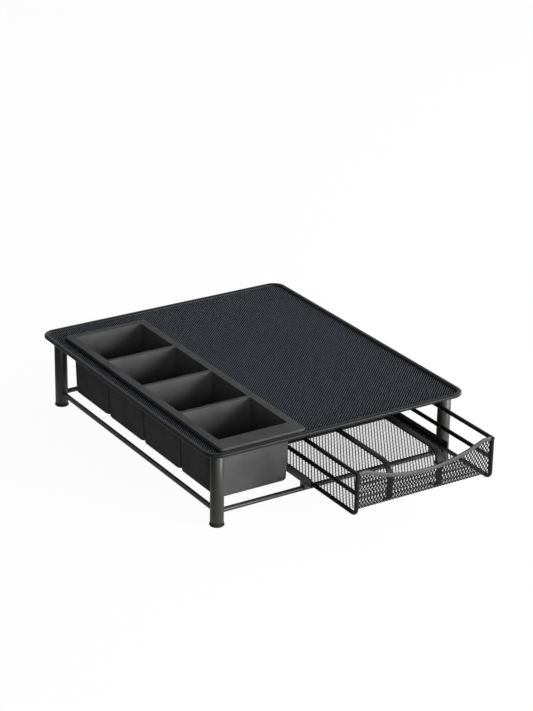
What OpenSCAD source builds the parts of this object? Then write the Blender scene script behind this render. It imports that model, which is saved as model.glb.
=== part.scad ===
// Pod drawer stand: a mesh-topped wire stand with a sliding basket drawer, and
// a lift-out organiser tray that hangs in the plate beside it.
// Millimetres, +Z up, front towards -Y, standing on z = 0. The origin is on the
// ground, in the middle of the outline of the stand and its open drawer.

/* [Top plate] */
// Width of the plate over its rim
plate_w = 305; // [285:1:360]
// Depth of the plate over its rim
plate_d = 361; // [350:1:420]
// Height of the rim's top above the table
stand_h = 83.7; // [80:0.1:120]
// Corner radius of the rim's outside, seen from above
plate_corner_r = 15; // [10:0.5:24]
// Width of the hemmed rim's section
rim_w = 5.2; // [4.4:0.1:6]
// Height of the hemmed rim's section
rim_h = 4.6; // [4.2:0.1:6]
// Thickness of the expanded metal sheets
mesh_t = 1.2; // [0.8:0.1:1.4]
// Depth of the plate's mesh below the top of the rim
mesh_drop = 2; // [1.4:0.1:2.4]
// Width of a strand between two gaps of the mesh
strand_w = 2.4; // [1.6:0.1:3]
// How deep a sheet's edge sits in its rim or hem
mesh_bite = 1.6; // [1:0.1:2]

/* [Legs and rods] */
// Diameter of a leg tube
leg_d = 13.8; // [12:0.1:18]
// Wall of a leg tube
leg_wall = 1; // [0.8:0.1:1.6]
// Distance from the plate's side to a leg's axis
leg_inset_x = 16.8; // [14:0.1:22]
// Distance from the plate's front or back to a leg's axis
leg_inset_y = 16.3; // [14:0.1:22]
// How far a foot cap's flange stands out round its leg
foot_lip = 0.7; // [0.3:0.1:3]
// Height of a foot cap's flange
foot_h = 2.4; // [1.6:0.1:4]
// Length of the plug that a foot cap pushes up its leg
foot_plug_l = 9; // [6:0.5:15]
// Radial clearance of that plug
foot_fit = 0.1; // [0.05:0.05:0.3]
// Diameter of the frame rods
rod_d = 5.2; // [4:0.1:6]
// Height of the lower rods' axes
low_rod_z = 14.8; // [10:0.1:15]
// Number of cross bars under the drawer's part of the plate
cross_bars = 2; // [1:1:4]

/* [Runners] */
// Sheet thickness of a runner angle
runner_t = 1.2; // [1:0.1:1.6]
// Height of a runner's web
runner_h = 10.6; // [8:0.1:14]
// Width of a runner's bottom flange
runner_w = 7.2; // [6.6:0.1:9]
// Height of the runners' undersides
runner_z = 23.8; // [22:0.1:24.5]
// How far the runners stand out in front of the plate
runner_out = 4; // [0:0.5:8]
// Clearance between a drawer wire and the runner that it slides on
slide_gap = 0.3; // [0.3:0.05:0.5]
// Clearance between the drawer's side and a runner's web
side_gap = 0.5; // [0.4:0.05:1]
// Clearance between the right runner and the right legs
leg_gap = 0.7; // [0.4:0.1:2]
// Width of a saddle block between a rod and a runner
saddle_w = 3; // [2:0.5:5]
// How far a saddle reaches in front of and behind its rod
saddle_lip = 1.5; // [1:0.1:3]

/* [Drawer] */
// Width of the drawer over its side wires
drawer_w = 165.6; // [150:0.1:175]
// Depth of the drawer over its end posts
drawer_d = 339.7; // [300:0.1:342]
// How far the drawer stands out in front of the plate as modelled
drawer_open = 81; // [40:1:120]
// Clearance between the drawer's top and the upper rods
headroom = 2.8; // [1:0.1:20]
// Diameter of the drawer's wires
wire_d = 4.4; // [3.6:0.1:5]
// Height of a side's middle wire over its bottom wire, axis to axis
mid_wire_rise = 21.9; // [16:0.1:26]
// Bend radius of a hoop's lower corners, at the wire's axis
hoop_r = 6.4; // [5:0.1:10]
// Diameter of the cross wires under the drawer's floor
cross_wire_d = 3; // [2.4:0.1:3.6]
// Bend radius of the basket mesh where its ends meet the floor
mesh_bend_r = 7.5; // [6:0.1:12]
// Height of the band along the top of each end
band_h = 4; // [3:0.1:6]
// Thickness of that band
band_t = 2.2; // [1.8:0.1:3]
// Depth of the finger dip in the front band
dip_h = 15.2; // [8:0.1:18]
// Flat length of the front band beside each post
dip_flat = 4.7; // [3:0.1:20]
// Radius of the rounded shoulder between that flat and the dip
shoulder_r = 20; // [10:0.5:30]

/* [Divider rails] */
// Width of the left lane, from its posts to its rail
lane_left_w = 34.7; // [30:0.1:45]
// Width of the middle lane, between the two rails
lane_mid_w = 53; // [45:0.1:58]
// Width of the flat divider strap
strap_w = 6.3; // [4:0.1:8]
// Thickness of the flat divider strap
strap_t = 2; // [1.5:0.1:2.5]
// Outer radius of a rail's upper bends
rail_r = 16; // [10:0.5:20]
// Depth of a rail's top below the top of the drawer's wires
rail_drop = 1; // [0:0.1:3]

/* [Organiser tray] */
// Distance from the left rods' axes to the hem of the tray's cut-out
tray_off_left = 2.1; // [2:0.1:20]
// Distance from the front rods' axes to that hem
tray_off_front = 5.9; // [3:0.1:20]
// Distance from the rear rods' axes to that hem
tray_off_back = 14.4; // [3:0.1:60]
// Sideways distance from the tray's mouth to the left runner
tray_off_bay = 7.2; // [5.5:0.1:20]
// Width of the flange along the sides and the back
flange_w = 8.5; // [7.6:0.1:9]
// Width of the flange along the front
flange_front_w = 20.2; // [9:0.1:22]
// Height of the flange's top above the plate's mesh
flange_h = 3.3; // [2.8:0.1:5]
// Corner radius of the flange
flange_r = 3; // [2:0.5:6]
// Thickness of the lip that the flange stands on
lip_t = 1.6; // [1.2:0.1:2.4]
// Depth of the tray below the top of its flange
tray_depth = 64; // [50:0.5:68]
// Wall of the tray
tray_t = 2.3; // [1.6:0.1:2.4]
// Number of pockets
pockets = 4; // [2:1:6]
// How much each wall of a pocket draws in from top to bottom
tray_taper = 2.4; // [1:0.1:4]
// Corner radius of a pocket's outside at the top
pocket_r = 8; // [6:0.5:12]
// How much smaller that radius is at the bottom
pocket_r_drop = 2; // [0.5:0.1:2]
// Radius round a pocket's floor, on the outside
pocket_floor_r = 3.6; // [2.6:0.1:3.8]
// Clearance between the tray and the hem of its cut-out
tray_gap = 1; // [0.6:0.1:1.4]
// Width of the hem round the cut-out
hem_w = 2.6; // [2.4:0.1:3.2]
// Sheet thickness of that hem, above and below the mesh
hem_t = 0.6; // [0.5:0.1:0.8]

/* [Hidden] */
$fn = 48;
eps = 0.01;
face_gap = 0.3;                       // between pieces that lie close and aren't joined
seam = 1.5;                           // solid border of a mesh beside its rim, hem or wire

// The stand.
stand_y = drawer_open / 2;
plate_front = stand_y - plate_d / 2;
plate_back = stand_y + plate_d / 2;
mesh_top = stand_h - mesh_drop;
mesh_bottom = mesh_top - mesh_t;
rim_bottom = stand_h - rim_h;
leg_x = plate_w / 2 - leg_inset_x;
leg_y = plate_d / 2 - leg_inset_y;
foot_r = leg_d / 2 + foot_lip;
top_rod_z = mesh_bottom - rod_d / 2;  // the upper rods touch the underside of the mesh

// The drawer's bay, from the right legs inwards.
wire_r = wire_d / 2;
bay_right = leg_x - leg_d / 2 - leg_gap;
drawer_x = bay_right - runner_t - side_gap - drawer_w / 2;
bay_half = drawer_w / 2 + side_gap + runner_t;
bay_left = drawer_x - bay_half;

// The drawer, where it is modelled, about its own middle line.
drawer_front = plate_front - drawer_open;
post_y = drawer_front + wire_r;
rear_post_y = drawer_front + drawer_d - wire_r;
drawer_mid_y = (post_y + rear_post_y) / 2;
side_x = drawer_w / 2 - wire_r;       // axes of a side's wires
end_x = side_x - wire_r;              // inner faces of the posts
low_wire_z = runner_z + runner_t + slide_gap + wire_r;
drawer_top = top_rod_z - rod_d / 2 - headroom;
top_wire_z = drawer_top - wire_r;
mid_wire_z = low_wire_z + mid_wire_rise;
floor_bottom = low_wire_z + wire_r;   // the floor mesh lies on the bottom wires
floor_top = floor_bottom + mesh_t;
bend_y = post_y + mesh_bend_r;
bend_z = floor_bottom + mesh_t / 2 + mesh_bend_r;

// The runners, from the closed drawer's front to their saddles or stops.
runner_front = plate_front - runner_out;
stop_y = runner_front + drawer_d + slide_gap;
runner_back = max(stand_y + leg_y + rod_d / 2 + saddle_lip, stop_y + runner_t);
fold_r = runner_t + 0.8;              // outside of a runner's fold

// The front band's dip: one wide arc between two rounded shoulders.
dip_half = end_x - dip_flat;
dip_r = (dip_half * dip_half + dip_h * dip_h) / (2 * dip_h) - shoulder_r;
dip_turn = dip_half * dip_r / (dip_r + shoulder_r);
function shoulder_z(x) = drawer_top - shoulder_r + sqrt(shoulder_r * shoulder_r - x * x);
function dip_z(x) =
    abs(x) >= dip_half ? drawer_top
    : abs(x) > dip_turn ? shoulder_z(dip_half - abs(x))
    : drawer_top - dip_h + dip_r - sqrt(dip_r * dip_r - x * x);

// The divider rails, from the drawer's middle line.
rail_left_x = -end_x + lane_left_w + strap_w / 2;
rail_right_x = rail_left_x + lane_mid_w + strap_w;
rail_top = drawer_top - rail_drop;
foot_bend_r = mesh_bend_r - band_t / 2 - face_gap;  // an upright clears the front band
rail_y = bend_y - foot_bend_r;
foot_z = floor_top + face_gap + foot_bend_r;        // axis of a rail's foot bend

// The tray and its cut-out.
mouth_left = -leg_x + tray_off_left + hem_w + tray_gap + tray_t;
mouth_right = bay_left - tray_off_bay;
mouth_front = stand_y - leg_y + tray_off_front + hem_w + tray_gap + tray_t;
mouth_back = stand_y + leg_y - tray_off_back - hem_w - tray_gap - tray_t;
tray_x = (mouth_left + mouth_right) / 2;
tray_y = (mouth_front + mouth_back) / 2;
tray_w = mouth_right - mouth_left + 2 * tray_t;
tray_l = mouth_back - mouth_front + 2 * tray_t;
pocket_l = tray_l / pockets;
flange_top = mesh_top + flange_h;
tray_bottom = flange_top - tray_depth;
cutout_w = tray_w + 2 * tray_gap;
cutout_l = tray_l + 2 * tray_gap;
cutout_r = pocket_r + tray_gap;
bay_bar_x = tray_x + cutout_w / 2 + hem_w + rod_d / 2 + face_gap;

// Diamond cells of the meshes, gap to gap: across, then along.
plate_cell = [19, 31];
floor_cell = [15, 24];
end_cell = [9, 13];

// ---------------------------------------------------------------- shared shapes

module round_rect(w, d, r) {
    square([w - 2 * r, d], center = true);
    square([w, d - 2 * r], center = true);
    for (x = [-1, 1], y = [-1, 1])
        translate([x * (w / 2 - r), y * (d / 2 - r)]) circle(r = r);
}

// A rectangle with its corner at the origin rounded.
module folded_corner(w, h, r) {
    translate([r, 0]) square([w - r, h]);
    translate([0, r]) square([w, h - r]);
    translate([r, r]) circle(r = r);
}

// One straight side of a ring, at +X. A section's x runs inwards from the
// ring's outline, and its y upwards.
module ring_side(half, len) {
    translate([half, len / 2, 0]) mirror([1, 0, 0]) rotate([90, 0, 0])
        linear_extrude(len) children();
}

module swept_ring(w, d, r) {
    for (a = [0, 180]) rotate([0, 0, a]) ring_side(w / 2, d - 2 * r) children();
    for (a = [90, 270]) rotate([0, 0, a]) ring_side(d / 2, w - 2 * r) children();
    for (x = [0, 1], y = [0, 1]) mirror([x, 0, 0]) mirror([0, y, 0])
        translate([w / 2 - r, d / 2 - r, 0]) rotate_extrude(angle = 90)
            translate([r, 0]) mirror([1, 0]) children();
}

// Extrudes a section drawn in Y and Z over -half < x < half.
module along_x(half) {
    translate([-half, 0, 0]) rotate([90, 0, 90]) linear_extrude(2 * half) children();
}

// Extrudes a section drawn in X and Z over y0 < y < y1.
module along_y(y0, y1) {
    translate([0, y1, 0]) rotate([90, 0, 0]) linear_extrude(y1 - y0) children();
}

module bar_x(half, d) rotate([0, 90, 0]) cylinder(h = 2 * half, d = d, center = true);
module bar_y(half, d) rotate([90, 0, 0]) cylinder(h = 2 * half, d = d, center = true);

// A quarter of a flat ring, in the quadrant of -x and -y.
module quarter_ring(r_out, r_in) {
    difference() {
        circle(r = r_out);
        circle(r = r_in);
        translate([0, -2 * r_out]) square(4 * r_out);
        translate([-2 * r_out, 0]) square(4 * r_out);
    }
}

// The diamond gaps of a net whose middles lie between x0 and x1, y0 and y1.
module net_gaps(cell, x0, x1, y0, y1) {
    k = (1 - strand_w * norm(cell) / (cell.x * cell.y)) / 2;
    for (i = [ceil(2 * x0 / cell.x) : floor(2 * x1 / cell.x)],
         j = [ceil(2 * y0 / cell.y) : floor(2 * y1 / cell.y)])
        if ((i + j) % 2 == 0)
            translate([i * cell.x / 2, j * cell.y / 2])
                polygon([[k * cell.x, 0], [0, k * cell.y], [-k * cell.x, 0], [0, -k * cell.y]]);
}

// A net's gaps, cut off at the edges of their window.
module net_window(cell, x0, x1, y0, y1) {
    intersection() {
        translate([x0, y0]) square([x1 - x0, y1 - y0]);
        net_gaps(cell, x0, x1, y0, y1);
    }
}

module in_stand() translate([0, stand_y, 0]) children();
module in_drawer() translate([drawer_x, 0, 0]) children();

// ---------------------------------------------------------------- top plate

// A folded hem with its mouth on the inside for the sheet's edge.
module rim_section() {
    r = 2;
    difference() {
        union() {
            translate([r, 0]) square([rim_w - 2 * r, rim_h]);
            translate([0, r]) square([rim_w, rim_h - 2 * r]);
            for (x = [r, rim_w - r], y = [r, rim_h - r]) translate([x, y]) circle(r = r);
        }
        translate([rim_w - mesh_bite, mesh_bottom - rim_bottom]) square([mesh_bite + 1, mesh_t]);
    }
}

module top_rim() {
    color("#2b2d30") in_stand() translate([0, 0, rim_bottom])
        swept_ring(plate_w, plate_d, plate_corner_r) rim_section();
}

module top_mesh() {
    edge = rim_w - mesh_bite;
    sheet_w = plate_w - 2 * edge;
    sheet_d = plate_d - 2 * edge;
    hole = hem_w - mesh_bite;
    x1 = plate_w / 2 - rim_w - seam;
    y1 = plate_d / 2 - rim_w - seam;
    cx0 = tray_x - cutout_w / 2 - hem_w - seam;
    cx1 = tray_x + cutout_w / 2 + hem_w + seam;
    cy0 = tray_y - stand_y - cutout_l / 2 - hem_w - seam;
    cy1 = tray_y - stand_y + cutout_l / 2 + hem_w + seam;
    color("#24262a") in_stand() translate([0, 0, mesh_bottom]) linear_extrude(mesh_t)
        difference() {
            round_rect(sheet_w, sheet_d, plate_corner_r - edge);
            translate([tray_x, tray_y - stand_y])
                round_rect(cutout_w + 2 * hole, cutout_l + 2 * hole, cutout_r + hole);
            net_window(plate_cell, cx1, x1, -y1, y1);
            net_window(plate_cell, -x1, cx0, -y1, y1);
            net_window(plate_cell, cx0 + strand_w, cx1 - strand_w, -y1, cy0);
            net_window(plate_cell, cx0 + strand_w, cx1 - strand_w, cy1, y1);
        }
}

// The hem folded over the edge of the cut-out, with its round fold inside.
module hem_section() {
    h = mesh_t + 2 * hem_t;
    difference() {
        union() {
            square([hem_w - h / 2, h]);
            translate([hem_w - h / 2, h / 2]) circle(d = h);
        }
        translate([-1, hem_t]) square([mesh_bite + 1, mesh_t]);
    }
}

module cutout_hem() {
    color("#2b2d30") translate([tray_x, tray_y, mesh_bottom - hem_t])
        swept_ring(cutout_w + 2 * hem_w, cutout_l + 2 * hem_w, cutout_r + hem_w) hem_section();
}

// ---------------------------------------------------------------- legs and frame rods

module leg(sx, sy) {
    color("#3a3c3f") in_stand() translate([sx * leg_x, sy * leg_y, foot_h]) difference() {
        cylinder(h = mesh_bottom - foot_h, d = leg_d);
        translate([0, 0, -1]) cylinder(h = mesh_bottom, d = leg_d - 2 * leg_wall);
    }
}

// A moulded cap: a thin flange under the tube and a chamfered plug inside it.
module foot(sx, sy) {
    edge_r = foot_h / 3;
    plug_r = leg_d / 2 - leg_wall - foot_fit;
    color("#1d1e20") in_stand() translate([sx * leg_x, sy * leg_y, 0]) rotate_extrude() {
        square([foot_r - edge_r, foot_h]);
        translate([0, edge_r]) square([foot_r, foot_h - edge_r]);
        translate([foot_r - edge_r, edge_r]) circle(r = edge_r);
        square([plug_r, foot_h + foot_plug_l - 1]);
        translate([0, foot_h + foot_plug_l - 1])
            polygon([[0, 0], [plug_r, 0], [plug_r - 1, 1], [0, 1]]);
    }
}

module all_legs() {
    for (x = [-1, 1], y = [-1, 1]) translate([x * leg_x, y * leg_y, -1])
        cylinder(h = stand_h, d = leg_d);
}

// A rod from leg to leg, its ends coped round the tubes.
module rod_across(sy, z) {
    color("#35373a") in_stand() difference() {
        translate([0, sy * leg_y, z]) bar_x(leg_x, rod_d);
        all_legs();
    }
}

module rod_along(sx, z) {
    color("#35373a") in_stand() difference() {
        translate([sx * leg_x, 0, z]) bar_y(leg_y, rod_d);
        all_legs();
    }
}

// The bar under the mesh between the tray's cut-out and the drawer.
module bay_bar() {
    color("#35373a") in_stand() difference() {
        translate([bay_bar_x, 0, top_rod_z]) bar_y(leg_y, rod_d);
        for (y = [-1, 1]) translate([0, y * leg_y, top_rod_z]) bar_x(leg_x, rod_d);
    }
}

// The bars under the mesh from that bar to the right rod.
module cross_bar() {
    half = (leg_x - bay_bar_x) / 2;
    step = 2 * leg_y / (cross_bars + 1);
    color("#35373a") in_stand() difference() {
        for (i = [1 : cross_bars])
            translate([bay_bar_x + half, i * step - leg_y, top_rod_z]) bar_x(half, rod_d);
        for (x = [bay_bar_x, leg_x]) translate([x, 0, top_rod_z]) bar_y(leg_y, rod_d);
    }
}

// ---------------------------------------------------------------- runners

// The left runner, from the bay's middle line: a folded angle with an end stop.
module runner_shape() {
    translate([-bay_half, 0, runner_z]) {
        along_y(runner_front, runner_back) difference() {
            folded_corner(runner_w, runner_h, fold_r);
            translate([runner_t, runner_t]) folded_corner(runner_w, runner_h, fold_r - runner_t);
        }
        translate([runner_t, stop_y, runner_t])
            cube([runner_w - runner_t, runner_t, runner_h - runner_t]);
    }
}

module runner_left() color("#1f2022") in_drawer() runner_shape();
module runner_right() color("#1f2022") in_drawer() mirror([1, 0, 0]) runner_shape();

// Blocks that straddle the lower rods and carry the runners' flanges.
module runner_saddles() {
    l = rod_d + 2 * saddle_lip;
    color("#1f2022") difference() {
        in_drawer() for (s = [0, 1], y = [-leg_y, leg_y]) mirror([s, 0, 0])
            translate([runner_w - bay_half - saddle_w, stand_y + y - l / 2, low_rod_z])
                cube([saddle_w, l, runner_z - low_rod_z]);
        for (y = [-leg_y, leg_y]) in_stand() translate([0, y, low_rod_z]) bar_x(leg_x, rod_d);
    }
}

// ---------------------------------------------------------------- organiser tray

// A tapered cup with its mouth at z = h, rounded upright corners and a rounded
// floor, all measured on this shell's own surface.
module cup(w, l, h, taper, r_top, r_low, r_floor) {
    rise = 30;
    hull() {
        for (x = [-1, 1], y = [-1, 1])
            translate([x * (w / 2 - r_top), y * (l / 2 - r_top), h - eps])
                cylinder(r = r_top, h = eps, $fn = 32);
        for (x = [-1, 1], y = [-1, 1], a = [0 : rise : 90])
            translate([x * (w / 2 - taper - r_low), y * (l / 2 - taper - r_low),
                       r_floor * (1 - cos(a))])
                cylinder(r = r_low - r_floor * (1 - sin(a)), h = eps, $fn = 32);
    }
}

module pocket_row() {
    for (i = [0 : pockets - 1])
        translate([tray_x, tray_y + (i + 0.5) * pocket_l - tray_l / 2, tray_bottom]) children();
}

// The flange's plate, with a lip turned down to the plate's mesh.
module tray_flange() {
    w = tray_w + 2 * (flange_w - tray_t);
    front = flange_front_w - tray_t;
    back = flange_w - tray_t;
    l = tray_l + front + back;
    translate([tray_x, tray_y + (back - front) / 2, mesh_top]) difference() {
        linear_extrude(flange_h) round_rect(w, l, flange_r);
        translate([0, 0, -1]) linear_extrude(flange_h - tray_t + 1)
            round_rect(w - 2 * lip_t, l - 2 * lip_t, flange_r - lip_t + 0.6);
    }
}

module tray() {
    r_low = pocket_r - pocket_r_drop;
    color("#2a2b2d") difference() {
        union() {
            pocket_row() cup(tray_w, pocket_l + eps, tray_depth, tray_taper,
                             pocket_r, r_low, pocket_floor_r);
            tray_flange();
        }
        pocket_row() translate([0, 0, tray_t])
            cup(tray_w - 2 * tray_t, pocket_l - 2 * tray_t, tray_depth - tray_t + eps, tray_taper,
                pocket_r - tray_t, r_low - tray_t, pocket_floor_r - tray_t);
    }
}

// ---------------------------------------------------------------- drawer frame

// A side's hoop: front post, bottom wire and rear post bent from one wire.
module hoop_shape() {
    y0 = post_y + hoop_r;
    y1 = rear_post_y - hoop_r;
    z0 = low_wire_z + hoop_r;
    difference() {
        union() {
            for (y = [post_y, rear_post_y]) translate([0, y, z0])
                cylinder(h = top_wire_z - z0, d = wire_d);
            translate([0, (y0 + y1) / 2, low_wire_z]) bar_y((y1 - y0) / 2, wire_d);
            for (c = [[y0, 180], [y1, 270]]) translate([0, c[0], z0]) rotate([90, 0, 90])
                rotate([0, 0, c[1]]) rotate_extrude(angle = 90)
                    translate([hoop_r, 0]) circle(d = wire_d);
        }
        top_wire_shape();
    }
}

module top_wire_shape() translate([0, drawer_mid_y, top_wire_z]) bar_y(drawer_d / 2, wire_d);

// The middle wire, coped round the posts that it is welded to.
module mid_wire_shape() {
    difference() {
        translate([0, drawer_mid_y, mid_wire_z]) bar_y(drawer_d / 2 - wire_r, wire_d);
        for (y = [post_y, rear_post_y]) translate([0, y, low_wire_z])
            cylinder(h = basket_rise(), d = wire_d);
    }
}

function basket_rise() = top_wire_z - low_wire_z;

module drawer_side(s) color("#1d1e21") in_drawer() translate([s * side_x, 0, 0]) children();

// The strip between a curve and the same curve band_h below it.
module band_outline(dipped) {
    steps = 64;
    xs = [for (i = [0 : steps]) (2 * i / steps - 1) * end_x];
    top = [for (x = xs) [x, dipped ? dip_z(x) : drawer_top]];
    polygon(concat(top, [for (i = [steps : -1 : 0]) top[i] - [0, band_h]]));
}

module band(y, dipped) {
    color("#4a4b4d") in_drawer() along_y(y - band_t / 2, y + band_t / 2) band_outline(dipped);
}

// A mesh wire of the floor, laid from bottom wire to bottom wire.
module cross_wire(y) {
    color("#1d1e21") in_drawer() difference() {
        translate([0, y, floor_bottom - cross_wire_d / 2]) bar_x(side_x, cross_wire_d);
        for (x = [-side_x, side_x])
            translate([x, drawer_mid_y, low_wire_z]) bar_y(drawer_d / 2, wire_d);
    }
}

// ---------------------------------------------------------------- basket mesh

// An upright end of the basket and its bend into the floor, at the front.
module end_mesh_shape(dipped) {
    steps = 64;
    x1 = end_x - seam;
    xs = [for (i = [0 : steps]) (2 * i / steps - 1) * end_x];
    top = [for (x = xs) [x, (dipped ? dip_z(x) : drawer_top) - band_h]];
    along_y(post_y - mesh_t / 2, post_y + mesh_t / 2) difference() {
        polygon(concat([[-end_x, bend_z]], top, [[end_x, bend_z]]));
        intersection() {
            polygon(concat([[-x1, bend_z + seam]], [for (p = top) [p.x * x1 / end_x, p.y - seam]],
                           [[x1, bend_z + seam]]));
            net_gaps(end_cell, -x1, x1, bend_z, drawer_top);
        }
    }
    slot_w = end_cell.x - strand_w;
    slots = floor(end_x / end_cell.x) - 1;
    difference() {
        translate([0, bend_y, bend_z]) along_x(end_x)
            quarter_ring(mesh_bend_r + mesh_t / 2, mesh_bend_r - mesh_t / 2);
        for (i = [-slots : slots]) translate([i * end_cell.x - slot_w / 2, bend_y - mesh_bend_r + seam,
                                              bend_z - 2 * mesh_bend_r])
            cube([slot_w, mesh_bend_r - 2 * seam, 2 * mesh_bend_r]);
    }
}

module front_mesh() color("#232427") in_drawer() end_mesh_shape(true);

module rear_mesh() {
    color("#232427") in_drawer() translate([0, 2 * drawer_mid_y, 0]) mirror([0, 1, 0])
        end_mesh_shape(false);
}

module floor_mesh() {
    half_l = (rear_post_y - post_y) / 2 - mesh_bend_r;
    x1 = side_x - wire_r - seam;
    color("#232427") in_drawer() translate([0, drawer_mid_y, floor_bottom]) linear_extrude(mesh_t)
        difference() {
            square([2 * side_x, 2 * half_l], center = true);
            net_window(floor_cell, -x1, x1, seam - half_l, half_l - seam);
        }
}

// ---------------------------------------------------------------- divider rails

// A rail's outline from the side, drawn in all round: wide bends at the top
// and tight ones at the feet.
module rail_outline(inset) {
    y0 = rail_y + inset;
    y1 = 2 * drawer_mid_y - y0;
    z0 = foot_z - foot_bend_r + inset;
    z1 = rail_top - inset;
    top_r = rail_r - inset;
    low_r = foot_bend_r - inset;
    translate([y0, z0 + low_r]) square([y1 - y0, z1 - z0 - low_r - top_r]);
    translate([y0 + top_r, z0 + low_r]) square([y1 - y0 - 2 * top_r, z1 - z0 - low_r]);
    translate([y0 + low_r, z0]) square([y1 - y0 - 2 * low_r, 2 * low_r]);
    for (y = [y0 + top_r, y1 - top_r]) translate([y, z1 - top_r]) circle(r = top_r);
    for (y = [y0 + low_r, y1 - low_r]) translate([y, z0 + low_r]) circle(r = low_r);
}

// One strap bent into feet, uprights and a flat top, open between its feet.
module rail(x) {
    toe_y = bend_y + strap_w;
    color("#26272a") in_drawer() translate([x, 0, 0]) along_x(strap_w / 2) difference() {
        rail_outline(0);
        rail_outline(strap_t);
        translate([toe_y, floor_top]) square([2 * (drawer_mid_y - toe_y), foot_bend_r]);
    }
}

// The flat strap on the floor between the two rails' feet.
module rail_tie(y) {
    color("#26272a") in_drawer()
        translate([rail_left_x + strap_w / 2, y, floor_top + face_gap])
            cube([rail_right_x - rail_left_x - strap_w, strap_w, strap_t]);
}

// ---------------------------------------------------------------- nodes

top_mesh();
top_rim();
cutout_hem();
leg(-1, -1);  // leg_front_left
leg(1, -1);  // leg_front_right
leg(-1, 1);  // leg_rear_left
leg(1, 1);  // leg_rear_right
foot(-1, -1);  // foot_front_left
foot(1, -1);  // foot_front_right
foot(-1, 1);  // foot_rear_left
foot(1, 1);  // foot_rear_right
rod_across(-1, low_rod_z);  // low_rod_front
rod_across(1, low_rod_z);  // low_rod_rear
rod_along(-1, low_rod_z);  // low_rod_left
rod_along(1, low_rod_z);  // low_rod_right
rod_across(-1, top_rod_z);  // top_rod_front
rod_across(1, top_rod_z);  // top_rod_rear
rod_along(-1, top_rod_z);  // top_rod_left
rod_along(1, top_rod_z);  // top_rod_right
bay_bar();
cross_bar();
runner_left();
runner_right();
runner_saddles();
tray();
drawer_side(-1) hoop_shape();  // hoop_left
drawer_side(1) hoop_shape();  // hoop_right
drawer_side(-1) top_wire_shape();  // top_wire_left
drawer_side(1) top_wire_shape();  // top_wire_right
drawer_side(-1) mid_wire_shape();  // mid_wire_left
drawer_side(1) mid_wire_shape();  // mid_wire_right
band(post_y, true);  // front_band
band(rear_post_y, false);  // rear_band
front_mesh();
floor_mesh();
rear_mesh();
cross_wire(drawer_mid_y);  // cross_wire_mid
cross_wire(2 * drawer_mid_y - bend_y - wire_d);  // cross_wire_rear
rail(rail_left_x);  // rail_left
rail(rail_right_x);  // rail_right
rail_tie(bend_y);  // rail_tie_front
rail_tie(2 * drawer_mid_y - bend_y - strap_w);  // rail_tie_rear
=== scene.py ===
"""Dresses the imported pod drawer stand: the mesh-topped stand, its basket drawer
and the organiser tray. Blender units are metres; sizes in the code are in mm."""

import math

import bmesh
import bpy
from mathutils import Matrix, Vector


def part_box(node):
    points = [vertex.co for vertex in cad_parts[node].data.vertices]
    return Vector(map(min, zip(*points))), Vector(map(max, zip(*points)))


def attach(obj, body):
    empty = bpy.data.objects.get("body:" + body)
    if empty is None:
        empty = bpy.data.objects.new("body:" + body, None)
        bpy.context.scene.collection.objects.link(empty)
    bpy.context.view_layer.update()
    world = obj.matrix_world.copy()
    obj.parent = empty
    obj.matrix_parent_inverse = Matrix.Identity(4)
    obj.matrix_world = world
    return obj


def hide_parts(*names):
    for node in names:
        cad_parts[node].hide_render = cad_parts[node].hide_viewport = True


bl_info = {
    "name": "Pod drawer stand",
    "version": (1, 0, 0),
    "blender": (4, 5, 0),
    "location": "View3D > Sidebar > Pod drawer",
    "description": "Builds the looks of a pod drawer stand around its packed CAD frame",
    "category": "Object",
}

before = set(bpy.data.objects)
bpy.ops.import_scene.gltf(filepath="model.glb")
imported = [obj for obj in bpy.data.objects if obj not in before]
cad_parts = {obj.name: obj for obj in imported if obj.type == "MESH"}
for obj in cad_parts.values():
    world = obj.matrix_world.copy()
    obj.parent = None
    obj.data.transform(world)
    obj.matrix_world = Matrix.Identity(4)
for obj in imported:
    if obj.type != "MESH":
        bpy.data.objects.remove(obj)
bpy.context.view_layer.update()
MM = 0.001
RIGHT_ANGLE = math.pi / 2


def node_box(node):
    """The lowest and highest corner of a CAD node, in mm."""
    lo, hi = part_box(node)
    return lo / MM, hi / MM


# ------------------------------------------------------------------ sizes, from the frame

RIM_LO, RIM_HI = node_box("top_rim")
MESH_LO, MESH_HI = node_box("top_mesh")
HEM_LO, HEM_HI = node_box("cutout_hem")
HOOP_LO, HOOP_HI = node_box("hoop_left")
HOOP_R_LO, HOOP_R_HI = node_box("hoop_right")
FLOOR_LO, FLOOR_HI = node_box("floor_mesh")
TRAY_LO, TRAY_HI = node_box("tray")

WIRE_R = (HOOP_HI.x - HOOP_LO.x) / 2
POST_Y = HOOP_LO.y + WIRE_R
REAR_POST_Y = HOOP_HI.y - WIRE_R
DRAWER_X = (HOOP_LO.x + HOOP_R_HI.x) / 2
DRAWER_TOP = node_box("top_wire_left")[1].z
END_HALF = (HOOP_R_LO.x - HOOP_HI.x) / 2

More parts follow.
